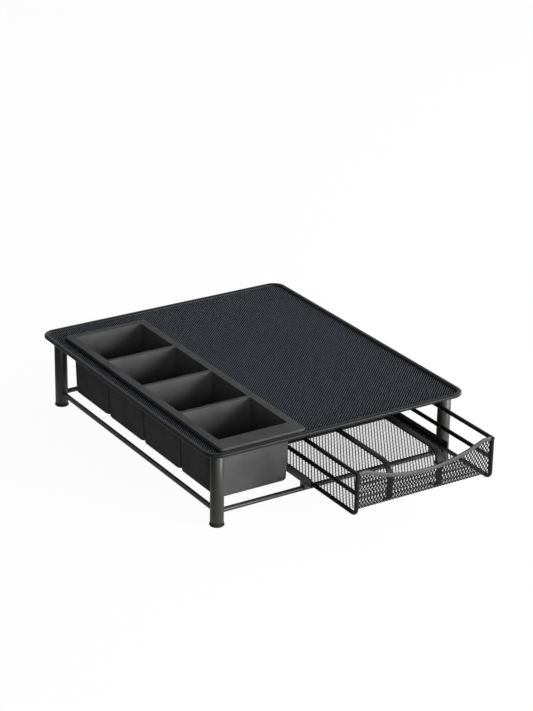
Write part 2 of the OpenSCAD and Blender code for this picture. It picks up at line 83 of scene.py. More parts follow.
# Sizes that a box of the frame doesn't give. A ROUND or an EDGE is what is taken off a
# corner, and a LAP is how far one piece runs into the next.
RIM_W, RIM_ROUND, PLATE_CORNER_R = 5.2, 2.0, 15.0
MESH_GRIP, MESH_CHAMFER, MESH_TRIM = 0.8, 5.0, 0.1
TUBE_EDGE, ROD_EDGE, WIRE_EDGE = 0.35, 0.2, 0.7
CAP_EDGE, DISH_H, DISH_R, DISH_NARROWS = 0.5, 0.5, 4.2, 0.86
RUNNER_T, RUNNER_FOLD_R, RUNNER_EDGE, SLIDE_GAP = 1.2, 2.0, 0.15, 0.3
TAB_INSET, TAB_ROUND = 0.4, 0.3
HOOP_BEND_R = 6.4
BAND_H, BAND_T, BAND_ROUND, BAND_LAP = 4.0, 2.2, 0.5, 0.5
DIP_H, DIP_FLAT, SHOULDER_R = 15.2, 4.7, 20.0
STRAP_W, STRAP_T, STRAP_ROUND = 6.3, 2.0, 0.45
RAIL_R, RAIL_FOOT_R = 16.0, 6.1
TRAY_T, TRAY_TAPER, POCKETS = 2.3, 1.5, 4
POCKET_R, POCKET_LAP, SHELL_FLOOR_R, HOLLOW_FLOOR_R = 4.5, 0.05, 3.6, 1.6
FLANGE_SIDE, FLANGE_FRONT, FLANGE_H = 8.5, 20.2, 3.3
FLANGE_R, FLANGE_INNER_R, LIP_T = 3.0, 2.0, 1.6
TRAY_GAP, HEM_W, HEM_ROUND = 1.0, 2.6, 0.9
HEM_CORNER_R = POCKET_R + TRAY_GAP + HEM_W

# A pocket's floor is drawn in by this share of its bend.
CUP_DRAW = 0.9
# How finely the bends are stepped and the bars are sided.
RIM_STEPS, BEND_STEPS, FOLD_STEPS, BASKET_BENDS, CUP_BENDS = 12, 8, 6, 4, 4
RAIL_STEPS, DIP_STEPS, SHOULDER_STEPS = 10, 40, 10
TUBE_SIDES, HOOP_SIDES, ROD_SIDES, CROSS_SIDES = 48, 20, 24, 16

# Two places this near are one place; an edge is looked for with a little more room; and a
# tool cuts this far past what it cuts.
TOUCH, NEAR, PAST = 0.01, 0.05, 2.0


# ------------------------------------------------------------------ looks and stage

# Roughness, pebbling, pebbles' fineness and gloss. A finish's colour is the property with
# its name.
FINISHES = {
    "tube_coat": (0.40, 0.12, 900.0, 0.5),
    "rim_coat": (0.36, 0.10, 900.0, 0.15),
    "plate_coat": (0.40, 0.05, 900.0, 0.36),
    "runner_coat": (0.50, 0.12, 900.0, 0.5),
    "wire_coat": (0.48, 0.10, 900.0, 0.15),
    "band_coat": (0.40, 0.10, 900.0, 0.5),
    "basket_coat": (0.50, 0.10, 900.0, 0.15),
    "tray_plastic": (0.55, 0.22, 1500.0, 0.04),
    "cap_plastic": (0.60, 0.20, 1400.0, 0.5),
}
CLOUD_SCALE, CLOUD_DEPTH = 38.0, 0.14
GLOSS_SCALE, GLOSS_DEPTH = 90.0, 0.05
NOISE_SPAN = (0.3, 0.7)
PEBBLE_H = 0.15
# The plate's slats, painted light and shade: the way that their painted-lit faces look, how
# far they lean from painted shade to painted light, and the painted shade's share of the colour.
SLAT_LIT_WAY, SLAT_LIT_LEAN, SLAT_PAINTED_SHADE = (0.69, -0.72, 0), (0.08, 0.28), 0.08

# The camera stands where the photograph's stood. Its angles are in degrees, and its focal
# length is in the photograph's pixels, of which it has so many from top to bottom.
CAMERA_PLACE = (-1131.26, -1769.36, 1002.67)
AZIMUTH, ELEVATION, ROLL = -32.5347, 23.1475, 0.9778
FOCAL_PIXELS, PHOTO_PIXELS, SENSOR = 2213.896, 711, 36
NEAR_CLIP, FAR_CLIP = 0.05, 50

# The floor in metres. It glows only for what looks at it: straight, or mirrored, where it
# goes from dim on the left to lit on the right.
FLOOR_SIZE, FLOOR_GLOW, FLOOR_SEEN = 14, 1.2, 0.8
FLOOR_LEFT, FLOOR_RIGHT, FLOOR_DIM, FLOOR_LIT = -0.3, 0.05, 0.08, 0.7
FLOOR_ROUGHNESS, FLOOR_GLOSS = 0.9, 0.1
# The world's own light, and the white sweep that is mirrored from behind the stand.
SOFT_LIGHT, SWEEP_WAY, SWEEP_WHOLE, SWEEP_SHARE = 0.12, (0.5, 0.85, 0), 0.6, 0.8
# Place, target, size, power and colour of each soft lamp, in metres and watts.
LAMPS = {
    "key": ((1.1, -1.9, 0.30), (0, 0, 0.04), 1.2, 68, (1, 1, 1)),
    "fill": ((-0.65, -2.0, 0.5), (0, 0, 0.04), 1.0, 8, (1, 1, 1)),
    "right_panel": ((2.2, -0.1, 0.35), (0, 0, 0.04), 1.0, 40, (1, 1, 1)),
    "overhead": ((0.3, 0.3, 2.2), (0, 0, 0), 1.6, 2, (0.75, 0.87, 1.0)),
}


# ------------------------------------------------------------------ properties


class PodStandSizes(bpy.types.PropertyGroup):
    """Sizes that the frame leaves open."""

    plate_across: bpy.props.FloatProperty(
        name="Plate net across", description="Pitch of the plate's mesh from side to side",
        default=3.29 * MM, min=2 * MM, max=8 * MM, subtype="DISTANCE", unit="LENGTH")
    plate_along: bpy.props.FloatProperty(
        name="Plate net along", description="Pitch of the plate's mesh from front to back",
        default=3.17 * MM, min=2 * MM, max=12 * MM, subtype="DISTANCE", unit="LENGTH")
    plate_strand: bpy.props.FloatProperty(
        name="Plate strand", description="Width of a strand of the plate's mesh",
        default=0.9 * MM, min=0.5 * MM, max=2 * MM, subtype="DISTANCE", unit="LENGTH")
    plate_sheet: bpy.props.FloatProperty(
        name="Plate sheet", description="Thickness of the plate's mesh",
        default=0.8 * MM, min=0.3 * MM, max=1.2 * MM, subtype="DISTANCE", unit="LENGTH")
    plate_lean: bpy.props.FloatProperty(
        name="Plate strand lean", description="Rise and fall of an opening's sides in the plate",
        default=0.4 * MM, min=0, max=1.2 * MM, subtype="DISTANCE", unit="LENGTH")
    basket_across: bpy.props.FloatProperty(
        name="Basket net across", description="Pitch of the basket's mesh across its openings",
        default=3.57 * MM, min=2 * MM, max=8 * MM, subtype="DISTANCE", unit="LENGTH")
    basket_along: bpy.props.FloatProperty(
        name="Basket net along", description="Pitch of the basket's mesh along its openings",
        default=5.6 * MM, min=3 * MM, max=12 * MM, subtype="DISTANCE", unit="LENGTH")
    basket_strand: bpy.props.FloatProperty(
        name="Basket strand", description="Width of a strand of the basket's mesh",
        default=1.0 * MM, min=0.5 * MM, max=2 * MM, subtype="DISTANCE", unit="LENGTH")
    basket_sheet: bpy.props.FloatProperty(
        name="Basket sheet", description="Thickness of the basket's mesh",
        default=0.16 * MM, min=0.1 * MM, max=1.2 * MM, subtype="DISTANCE", unit="LENGTH")
    basket_lean: bpy.props.FloatProperty(
        name="Basket strand lean", description="Rise and fall of an opening's sides in the basket",
        default=0.45 * MM, min=0, max=1.2 * MM, subtype="DISTANCE", unit="LENGTH")
    edge: bpy.props.FloatProperty(
        name="Edge", description="Rounding of the tray's moulded edges",
        default=0.4 * MM, min=0.1 * MM, max=1 * MM, subtype="DISTANCE", unit="LENGTH")


class PodStandFinishes(bpy.types.PropertyGroup):
    """Colours of the coats, the plastics and the floor."""

    tube_coat: bpy.props.FloatVectorProperty(
        name="Tube coat", description="Colour of the coat on the legs and rods",
        default=(0.040, 0.039, 0.037), min=0, max=1, size=3, subtype="COLOR")
    rim_coat: bpy.props.FloatVectorProperty(
        name="Rim coat", description="Colour of the coat on the rim and the hem",
        default=(0.020, 0.021, 0.022), min=0, max=1, size=3, subtype="COLOR")
    plate_coat: bpy.props.FloatVectorProperty(
        name="Plate coat", description="Colour of the coat on the plate's mesh",
        default=(0.050, 0.058, 0.076), min=0, max=1, size=3, subtype="COLOR")
    runner_coat: bpy.props.FloatVectorProperty(
        name="Runner coat", description="Colour of the coat on the runners",
        default=(0.034, 0.034, 0.035), min=0, max=1, size=3, subtype="COLOR")
    wire_coat: bpy.props.FloatVectorProperty(
        name="Wire coat", description="Colour of the coat on the drawer's wires and divider",
        default=(0.012, 0.012, 0.012), min=0, max=1, size=3, subtype="COLOR")
    # Painted light: the bands take the drawer's black coat painted lighter, for the light that
    # their front faces catch.
    band_coat: bpy.props.FloatVectorProperty(
        name="Band coat", description="Colour of the coat on the drawer's two bands",
        default=(0.080, 0.077, 0.075), min=0, max=1, size=3, subtype="COLOR")
    basket_coat: bpy.props.FloatVectorProperty(
        name="Basket coat", description="Colour of the coat on the basket's mesh",
        default=(0.010, 0.010, 0.010), min=0, max=1, size=3, subtype="COLOR")
    tray_plastic: bpy.props.FloatVectorProperty(
        name="Tray plastic", description="Colour of the moulded tray",
        default=(0.116, 0.115, 0.115), min=0, max=1, size=3, subtype="COLOR")
    cap_plastic: bpy.props.FloatVectorProperty(
        name="Foot caps", description="Colour of the moulded foot caps",
        default=(0.022, 0.022, 0.024), min=0, max=1, size=3, subtype="COLOR")
    floor: bpy.props.FloatVectorProperty(
        name="Floor", description="Colour of the studio floor",
        default=(0.36, 0.36, 0.36), min=0, max=1, size=3, subtype="COLOR")


# ------------------------------------------------------------------ making meshes


def mm(*v):
    return Vector(v) * MM


def edit(piece):
    bpy.context.view_layer.objects.active = piece
    bpy.ops.object.mode_set(mode="EDIT")


def leave():
    """Back to object mode, from wherever."""
    if bpy.context.object and bpy.context.object.mode != "OBJECT":
        bpy.ops.object.mode_set(mode="OBJECT")


def deselect():
    leave()
    bpy.ops.object.select_all(action="DESELECT")


def begin(name, scale=(1, 1, 1)):
    """The primitive just added, its place moved into its mesh, in edit mode and all selected."""
    piece = bpy.context.object
    piece.name = piece.data.name = name
    piece.scale = scale
    bpy.ops.object.transform_apply(location=True, rotation=True, scale=True)
    edit(piece)
    bpy.ops.mesh.select_all(action="SELECT")
    return piece


def pick(test, mode="VERT"):
    """Selects the vertices, edges or faces whose middle, in mm, passes a test."""
    bpy.ops.mesh.select_mode(type=mode)
    mesh = bpy.context.object.data
    bm = bmesh.from_edit_mesh(mesh)
    for v in bm.verts:
        v.select = False
    for e in bm.edges:
        e.select = False
    for f in bm.faces:
        f.select = False
    if mode == "VERT":
        for v in bm.verts:
            if test(v.co / MM):
                v.select = True
    elif mode == "EDGE":
        for e in bm.edges:
            if test((e.verts[0].co + e.verts[1].co) / 2 / MM):
                e.select_set(True)
    else:
        for f in bm.faces:
            if test(f.calc_center_median() / MM):
                f.select_set(True)
    bm.select_flush_mode()
    bmesh.update_edit_mesh(mesh)


def go(*step):
    """Extrudes what is selected by a step in mm."""
    bpy.ops.mesh.extrude_region_move(TRANSFORM_OT_translate={"value": mm(*step)})


def spin(angle, centre, axis, steps):
    """Spins what is selected, by the right-hand rule."""
    bpy.ops.mesh.spin(steps=steps, angle=-angle, center=mm(*centre), axis=axis)


def turn(angle, axis, centre):
    """Turns what is selected, by the right-hand rule."""
    bpy.ops.transform.rotate(value=-angle, orient_axis=axis, center_override=mm(*centre))


def cut(co, no, clear=True):
    """Cuts everything at a plane and clears the side that its normal points to."""
    bpy.ops.mesh.select_all(action="SELECT")
    bpy.ops.mesh.bisect(plane_co=mm(*co), plane_no=no, clear_outer=clear)


def face_out():
    """Turns every face of the mesh being edited outwards."""
    bpy.ops.mesh.select_all(action="SELECT")
    bpy.ops.mesh.normals_make_consistent(inside=False)


def close_mesh():
    """Merges the doubles of a sweep, closes its ends and turns its faces outwards."""
    bpy.ops.mesh.select_all(action="SELECT")
    bpy.ops.mesh.remove_doubles(threshold=TOUCH * MM)
    bpy.ops.mesh.fill_holes(sides=0)
    face_out()


def apply_modifier(piece, kind, **values):
    bpy.context.view_layer.objects.active = piece
    made = piece.modifiers.new(kind.lower(), kind)
    for key, value in values.items():
        setattr(made, key, value)
    bpy.ops.object.modifier_apply(modifier=made.name)


def boolean(piece, tool, operation):
    apply_modifier(piece, "BOOLEAN", object=tool, operation=operation, solver="EXACT")
    bpy.data.objects.remove(tool)


def join(piece, other):
    """Moves another object's mesh into a piece."""
    bpy.ops.object.select_all(action="DESELECT")
    other.select_set(True)
    piece.select_set(True)
    bpy.context.view_layer.objects.active = piece
    bpy.ops.object.join()


def finish(piece, body, material, nodes, angle=35):
    """Smooths a piece, gives it its finish and hangs it on its body."""
    deselect()
    piece.select_set(True)
    bpy.context.view_layer.objects.active = piece
    bpy.ops.object.shade_smooth_by_angle(angle=math.radians(angle))
    piece.data.materials.clear()
    piece.data.materials.append(material)
    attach(piece, body)
    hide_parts(*nodes)


def bar(name, start, end, radius, edge, sides=ROD_SIDES):
    """A round bar between two points, with broken ends."""
    start, end = Vector(start), Vector(end)
    way = end - start
    deselect()
    bpy.ops.mesh.primitive_cylinder_add(
        vertices=sides, radius=radius * MM, depth=way.length * MM, end_fill_type="NGON",
        location=mm(*((start + end) / 2)), rotation=way.to_track_quat("Z", "Y").to_euler())
    piece = begin(name)
    along = way.normalized()

    def at_end(p):
        return any(abs((p - e).dot(along)) < TOUCH for e in (start, end))

    pick(at_end, "FACE")
    bpy.ops.mesh.inset(thickness=edge * MM, depth=0)
    for e, sign in ((start, 1), (end, -1)):
        pick(lambda p: abs((p - e).dot(along)) < TOUCH
             and (p - e - along * (p - e).dot(along)).length > radius - NEAR)
        bpy.ops.transform.translate(value=along * (sign * edge * MM))
    leave()
    return piece


def ring_section(name, radius, at, sides):
    """An open circle to sweep upwards or downwards, selected, in edit mode."""
    deselect()
    bpy.ops.mesh.primitive_circle_add(
        vertices=sides, radius=radius * MM, fill_type="NOTHING", location=mm(*at))
    return begin(name)


def strap_section(name, width, thick, at, rotation, edge):
    """An open rectangle with rounded corners to sweep, selected, in edit mode."""
    deselect()
    bpy.ops.mesh.primitive_plane_add(size=MM, location=mm(*at), rotation=rotation)
    piece = begin(name, (width, thick, 1))
    bpy.ops.mesh.bevel(offset=edge * MM, offset_pct=0, segments=3, affect="VERTICES")
    bpy.ops.mesh.select_all(action="SELECT")
    bpy.ops.mesh.delete(type="ONLY_FACE")
    bpy.ops.mesh.select_all(action="SELECT")
    return piece


def swept_frame(name, lo, hi, width, corner_r, edge, steps):
    """A strap swept round a box's rounded outline, just inside it and as high as it."""
    z = (lo.z + hi.z) / 2
    left, right = lo.x + corner_r, hi.x - corner_r
    front, back = lo.y + corner_r, hi.y - corner_r
    piece = strap_section(name, width, hi.z - lo.z, (hi.x - width / 2, front, z),
                          (RIGHT_ANGLE, 0, 0), edge)
    for straight, corner in (((0, back - front, 0), (right, back, z)),
                             ((left - right, 0, 0), (left, back, z)),
                             ((0, front - back, 0), (left, front, z)),
                             ((right - left, 0, 0), (right, front, z))):
        go(*straight)
        spin(RIGHT_ANGLE, corner, (0, 0, 1), steps)
    close_mesh()
    return piece


def round_slab(name, lo, hi, z0, z1, radius, segments):
    """A block between two heights with rounded upright corners."""
    deselect()
    bpy.ops.mesh.primitive_plane_add(
        size=MM, location=mm((lo[0] + hi[0]) / 2, (lo[1] + hi[1]) / 2, z0))
    piece = begin(name, (hi[0] - lo[0], hi[1] - lo[1], 1))
    bpy.ops.mesh.bevel(offset=radius * MM, offset_pct=0, segments=segments, affect="VERTICES")
    bpy.ops.mesh.select_all(action="SELECT")
    go(0, 0, z1 - z0)
    face_out()
    leave()
    return piece


# ------------------------------------------------------------------ expanded metal


def diamond_net(name, x0, x1, y0, y1, across, along, z, strand, lean, anchor):
    """A flat net of raised diamonds over a rectangle, as a sheet without thickness. Each
    opening leans, its right side up, so that its strands stand like slats. A column of the
    openings lies on the anchor, so strips with one anchor share one net."""
    deselect()
    bpy.ops.mesh.primitive_circle_add(vertices=4, radius=0.5 * MM, fill_type="NGON")
    piece = begin(name, (across, along, 1))
    bpy.ops.mesh.inset(thickness=strand / 2, depth=0)
    for side in (-1, 1):
        # The corner of the opening on this side, but not the one of the tile.
        pick(lambda p: 0.05 * across < side * p.x < 0.45 * across)
        bpy.ops.transform.translate(value=(0, 0, side * lean))
    # The opening itself, round the tile's middle.
    pick(lambda p: p.length < 0.1 * across, "FACE")
    bpy.ops.mesh.delete(type="ONLY_FACE")
    leave()
    left = anchor - math.ceil((anchor - x0) / across + 1) * across
    columns = math.ceil((x1 - left) / across) + 1
    rows = math.ceil((y1 - y0) / along) + 2
    for count, dx, dy in ((2, across / 2, along / 2), (columns, across, 0), (rows, 0, along)):
        apply_modifier(piece, "ARRAY", count=count, use_relative_offset=False,
                       use_constant_offset=True, constant_offset_displace=(dx * MM, dy * MM, 0))
    edit(piece)
    bpy.ops.mesh.select_all(action="SELECT")
    bpy.ops.mesh.remove_doubles(threshold=2 * TOUCH * MM)
    bpy.ops.transform.translate(value=mm(left, y0, z))
    cut((x0, 0, 0), (-1, 0, 0))
    cut((x1, 0, 0), (1, 0, 0))
    return piece


def thicken(piece, sheet):
    leave()
    apply_modifier(piece, "SOLIDIFY", thickness=sheet, offset=0)


# ------------------------------------------------------------------ finishes


def new_material(name):
    material = bpy.data.materials.new(name)
    material.use_nodes = True
    nodes, links = material.node_tree.nodes, material.node_tree.links
    shader = nodes["Principled BSDF"]
    place = nodes.new("ShaderNodeTexCoord")
    return material, nodes, links, shader, place


def noise(nodes, links, place, scale, detail):
    made = nodes.new("ShaderNodeTexNoise")
    made.inputs["Scale"].default_value = scale
    made.inputs["Detail"].default_value = detail
    links.new(place.outputs["Object"], made.inputs["Vector"])
    return made.outputs["Fac"]


def ramp(nodes, links, source, start, end, low=0.0, high=1.0):
    """Takes a value that runs from start to end to one from low to high."""
    made = nodes.new("ShaderNodeMapRange")
    made.inputs["From Min"].default_value = start
    made.inputs["From Max"].default_value = end
    made.inputs["To Min"].default_value = low
    made.inputs["To Max"].default_value = high
    links.new(source, made.inputs["Value"])
    return made.outputs["Result"]


def along_way(nodes, links, source, way):
    """How much a direction goes one way."""
    made = nodes.new("ShaderNodeVectorMath")
    made.operation = "DOT_PRODUCT"
    made.inputs[1].default_value = way
    links.new(source, made.inputs[0])
    return made.outputs["Value"]


def calc(nodes, links, operation, *terms):
    """Arithmetic on numbers and other nodes' outputs."""
    made = nodes.new("ShaderNodeMath")
    made.operation = operation
    for socket, term in zip(made.inputs, terms):
        if isinstance(term, (int, float)):
            socket.default_value = term
        else:
            links.new(term, socket)
    return made.outputs[0]


def shades(nodes, links, source, colour, dark, light):
    """A colour that goes from one share of itself to another."""
    made = nodes.new("ShaderNodeMix")
    made.data_type = "RGBA"
    made.inputs["A"].default_value = (*(dark * c for c in colour), 1)
    made.inputs["B"].default_value = (*(light * c for c in colour), 1)
    links.new(source, made.inputs["Factor"])
    return made.outputs["Result"]


def coated(name, colour, roughness, peel, grain, gloss, lit_way=None):
    """A thin coat over metal or a moulded skin: cloudy colour, fine pebbled surface, and
    gloss that comes and goes a little. Given a lit way, faces that lean that way get the full
    colour and gloss as painted light, and the faces between them get painted shade, dark and dull."""
    material, nodes, links, shader, place = new_material(name)
    # Painted light and shade: faces that lean the lit way keep the full colour and gloss, the
    # others take painted shade.
    if lit_way:
        lean = along_way(nodes, links, place.outputs["Normal"], lit_way)
        painted_lit = ramp(nodes, links, lean, *SLAT_LIT_LEAN)
        tone = shades(nodes, links, painted_lit, colour, SLAT_PAINTED_SHADE, 1)
        links.new(calc(nodes, links, "MULTIPLY", painted_lit, gloss),
                  shader.inputs["Specular IOR Level"])
    else:
        cloud = ramp(nodes, links, noise(nodes, links, place, CLOUD_SCALE, 3.0), *NOISE_SPAN)
        tone = shades(nodes, links, cloud, colour, 1 - CLOUD_DEPTH, 1 + CLOUD_DEPTH)
        shader.inputs["Specular IOR Level"].default_value = gloss
    links.new(tone, shader.inputs["Base Color"])
    patch = ramp(nodes, links, noise(nodes, links, place, GLOSS_SCALE, 3.0), *NOISE_SPAN,
                 roughness - GLOSS_DEPTH, roughness + GLOSS_DEPTH)
    links.new(patch, shader.inputs["Roughness"])
    bump = nodes.new("ShaderNodeBump")
    bump.inputs["Strength"].default_value = peel
    bump.inputs["Distance"].default_value = PEBBLE_H * MM
    links.new(noise(nodes, links, place, grain, 2.0), bump.inputs["Height"])
    links.new(bump.outputs["Normal"], shader.inputs["Normal"])
    return material


def finish_named(name):
    """One of the finishes, made the first time that it is asked for."""
    if name in bpy.data.materials:
        return bpy.data.materials[name]
    colour = getattr(bpy.context.scene.pod_stand_finishes, name)
    # The plate's coat gets painted light and shade on its slats.
    return coated(name, colour, *FINISHES[name], SLAT_LIT_WAY if name == "plate_coat" else None)


# ------------------------------------------------------------------ the stand


class PODSTAND_OT_plate_rim(bpy.types.Operator):
    """The hemmed rim, swept round the plate"""

    bl_idname = "podstand.plate_rim"
    bl_label = "Plate rim"

    def execute(self, context):
        piece = swept_frame("plate_rim", RIM_LO, RIM_HI, RIM_W, PLATE_CORNER_R, RIM_ROUND,
                            RIM_STEPS)
        finish(piece, "stand", finish_named("rim_coat"), ["top_rim"], 50)
        return {"FINISHED"}


class PODSTAND_OT_plate_mesh(bpy.types.Operator):
    """The plate's expanded metal, cut out for the tray and set into the rim"""

    bl_idname = "podstand.plate_mesh"
    bl_label = "Plate mesh"

    def execute(self, context):
        bay = HEM_HI.x - MESH_GRIP
        middle = (bay + MESH_HI.x) / 2
        self.strip("plate_mesh_tray_side", MESH_LO.x, bay)
        self.strip("plate_mesh_middle", bay, middle)
        self.strip("plate_mesh_right", middle, MESH_HI.x)
        return {"FINISHED"}

    def strip(self, name, left, right):
        """The sheet between two places in x, in the one net that all the strips share."""
        sizes = bpy.context.scene.pod_stand_sizes
        piece = diamond_net(name, left, right, MESH_LO.y, MESH_HI.y, sizes.plate_across / MM,
                            sizes.plate_along / MM, (MESH_LO.z + MESH_HI.z) / 2,
                            sizes.plate_strand, sizes.plate_lean, 0)
        cut((0, MESH_LO.y + MESH_TRIM, 0), (0, -1, 0))
        cut((0, MESH_HI.y, 0), (0, 1, 0))
        for x, sx in ((MESH_LO.x, -1), (MESH_HI.x, 1)):
            for y, sy in ((MESH_LO.y, -1), (MESH_HI.y, 1)):
                cut((x - sx * MESH_CHAMFER / 2, y - sy * MESH_CHAMFER / 2, 0), (sx, sy, 0))
        if left < HEM_LO.x:
            self.clear_cutout()
        thicken(piece, sizes.plate_sheet)
        finish(piece, "stand", finish_named("plate_coat"), ["top_mesh"], 30)

    def clear_cutout(self):
        """Opens the net inside the hem, with its corners cut off inside the hem's bends."""
        middle = (HEM_LO + HEM_HI) / 2
        half = (HEM_HI - HEM_LO) / 2 - Vector((MESH_GRIP, MESH_GRIP, 0))
        reach = half.x + half.y - HEM_CORNER_R * (2 - math.sqrt(2)) + MESH_GRIP
        cut((middle.x - half.x, 0, 0), (1, 0, 0), False)
        for side in (-1, 1):
            cut((0, middle.y + side * half.y, 0), (0, 1, 0), False)
            for way in (-1, 1):
                cut((middle.x + side * reach, middle.y, 0), (side, way, 0), False)

        def open_here(p):
            away = p - middle
            return (abs(away.x) < half.x and abs(away.y) < half.y
                    and abs(away.x) + abs(away.y) < reach)

        pick(open_here, "FACE")
        bpy.ops.mesh.delete(type="FACE")


class PODSTAND_OT_cutout_hem(bpy.types.Operator):
    """The folded hem round the tray's cut-out"""

    bl_idname = "podstand.cutout_hem"
    bl_label = "Cut-out hem"

    def execute(self, context):
        piece = swept_frame("cutout_hem_fold", HEM_LO, HEM_HI, HEM_W, HEM_CORNER_R, HEM_ROUND,
                            BEND_STEPS)
        finish(piece, "stand", finish_named("rim_coat"), ["cutout_hem"], 50)
        return {"FINISHED"}


class PODSTAND_OT_legs(bpy.types.Operator):
    """The leg tubes, with a rolled edge at each end, and their moulded caps"""

    bl_idname = "podstand.legs"
    bl_label = "Legs and foot caps"

    def execute(self, context):
        for place in ("front_left", "front_right", "rear_left", "rear_right"):
            lo, hi = node_box("leg_" + place)
            x, y = (lo.x + hi.x) / 2, (lo.y + hi.y) / 2
            piece = bar("leg_tube_" + place, (x, y, lo.z), (x, y, hi.z), (hi.x - lo.x) / 2,
                        TUBE_EDGE, TUBE_SIDES)
            finish(piece, "stand", finish_named("tube_coat"), ["leg_" + place], 50)
            self.cap(place, x, y, lo.z)
        return {"FINISHED"}

    def cap(self, place, x, y, top):
        """A disc with broken edges and a shallow dish under it."""
        lo, hi = node_box("foot_" + place)
        radius = (hi.x - lo.x) / 2
        deselect()
        bpy.ops.mesh.primitive_cylinder_add(
            vertices=TUBE_SIDES, radius=radius * MM, depth=top * MM, end_fill_type="NGON",
            location=mm(x, y, top / 2))
        piece = begin("foot_cap_" + place)

        def out(p):
            return math.hypot(p.x - x, p.y - y)

        for z, slope in ((0, 1), (top, -1)):
            pick(lambda p: abs(p.z - z) < TOUCH, "FACE")
            bpy.ops.mesh.inset(thickness=CAP_EDGE * MM, depth=0)
            pick(lambda p: abs(p.z - z) < TOUCH and out(p) > radius - NEAR)
            bpy.ops.transform.translate(value=mm(0, 0, slope * CAP_EDGE))
        pick(lambda p: abs(p.z) < TOUCH and out(p) < NEAR, "FACE")
        bpy.ops.mesh.inset(thickness=(radius - CAP_EDGE - DISH_R) * MM, depth=0)
        go(0, 0, DISH_H)
        bpy.ops.transform.resize(value=(DISH_NARROWS, DISH_NARROWS, 1))
        close_mesh()
        finish(piece, "stand", finish_named("cap_plastic"), ["foot_" + place], 40)


class PODSTAND_OT_frame_rods(bpy.types.Operator):
    """The rods between the legs and the bars under the mesh"""

    bl_idname = "podstand.frame_rods"
    bl_label = "Frame rods"

    def execute(self, context):
        coat = finish_named("tube_coat")
        rods = [f"{level}_rod_{side}" for level in ("low", "top")
                for side in ("front", "rear", "left", "right")]
        for node in (*rods, "bay_bar"):
            piece = self.rod(node + "_coated", *node_box(node))
            finish(piece, "stand", coat, [node])
        lo, hi = node_box("cross_bar")
        thick = hi.z - lo.z
        piece = self.rod("cross_bars_coated", lo, Vector((hi.x, lo.y + thick, hi.z)))
        join(piece, self.rod("cross_bar_second", Vector((lo.x, hi.y - thick, lo.z)), hi))
        finish(piece, "stand", coat, ["cross_bar"])
        return {"FINISHED"}

    def rod(self, name, lo, hi):
        """A bar along the longest way through a box, as thick as the box is high."""
        start, end = (lo + hi) / 2, (lo + hi) / 2
        size = hi - lo
        axis = 0 if size.x > size.y else 1
        start[axis], end[axis] = lo[axis], hi[axis]
        return bar(name, start, end, size.z / 2, ROD_EDGE)


class PODSTAND_OT_runners(bpy.types.Operator):
    """The folded runner angles with their stop tabs, and the saddles under them"""

    bl_idname = "podstand.runners"
    bl_label = "Runners"

    def execute(self, context):
        coat = finish_named("runner_coat")
        for node in ("runner_left", "runner_right"):
            lo, hi = node_box(node)
            web, lip = (lo.x, hi.x) if node == "runner_left" else (hi.x, lo.x)
            piece = self.angle(node, lo, hi, web)
            join(piece, self.tab(node, lo, hi, web, lip))
            apply_modifier(piece, "BEVEL", width=RUNNER_EDGE * MM, segments=1,
                           limit_method="ANGLE", angle_limit=math.radians(60))
            finish(piece, "stand", coat, [node], 40)
        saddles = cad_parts["runner_saddles"]
        saddles.data.materials.clear()
        saddles.data.materials.append(coat)
        return {"FINISHED"}

    def angle(self, node, lo, hi, web):
        """A lip with a web folded up from its outer edge, given its thickness inwards."""
        deselect()
        bpy.ops.mesh.primitive_plane_add(
            size=MM, location=mm((lo.x + hi.x) / 2, (lo.y + hi.y) / 2, lo.z))
        piece = begin(node + "_angle", (hi.x - lo.x, hi.y - lo.y, 1))
        pick(lambda p: abs(p.x - web) < TOUCH, "EDGE")
        go(0, 0, hi.z - lo.z)
        pick(lambda p: abs(p.x - web) < TOUCH and abs(p.z - lo.z) < TOUCH, "EDGE")
        bpy.ops.mesh.bevel(offset=RUNNER_FOLD_R * MM, offset_pct=0, segments=FOLD_STEPS)
        face_out()
        leave()
        up = piece.data.polygons[0].normal.z
        apply_modifier(piece, "SOLIDIFY", thickness=RUNNER_T * MM, offset=1 if up > 0 else -1)
        return piece

    def tab(self, node, lo, hi, web, lip):
        """The stop that the drawer's rear post meets when it is shut."""
        stop_y = lo.y + HOOP_HI.y - HOOP_LO.y + SLIDE_GAP
        inner = web + math.copysign(RUNNER_T, lip - web)
        return round_slab(node + "_stop", (min(inner, lip), stop_y),
                          (max(inner, lip), stop_y + RUNNER_T),
                          lo.z + TAB_INSET, hi.z - TAB_INSET, TAB_ROUND, 2)


# ------------------------------------------------------------------ the drawer


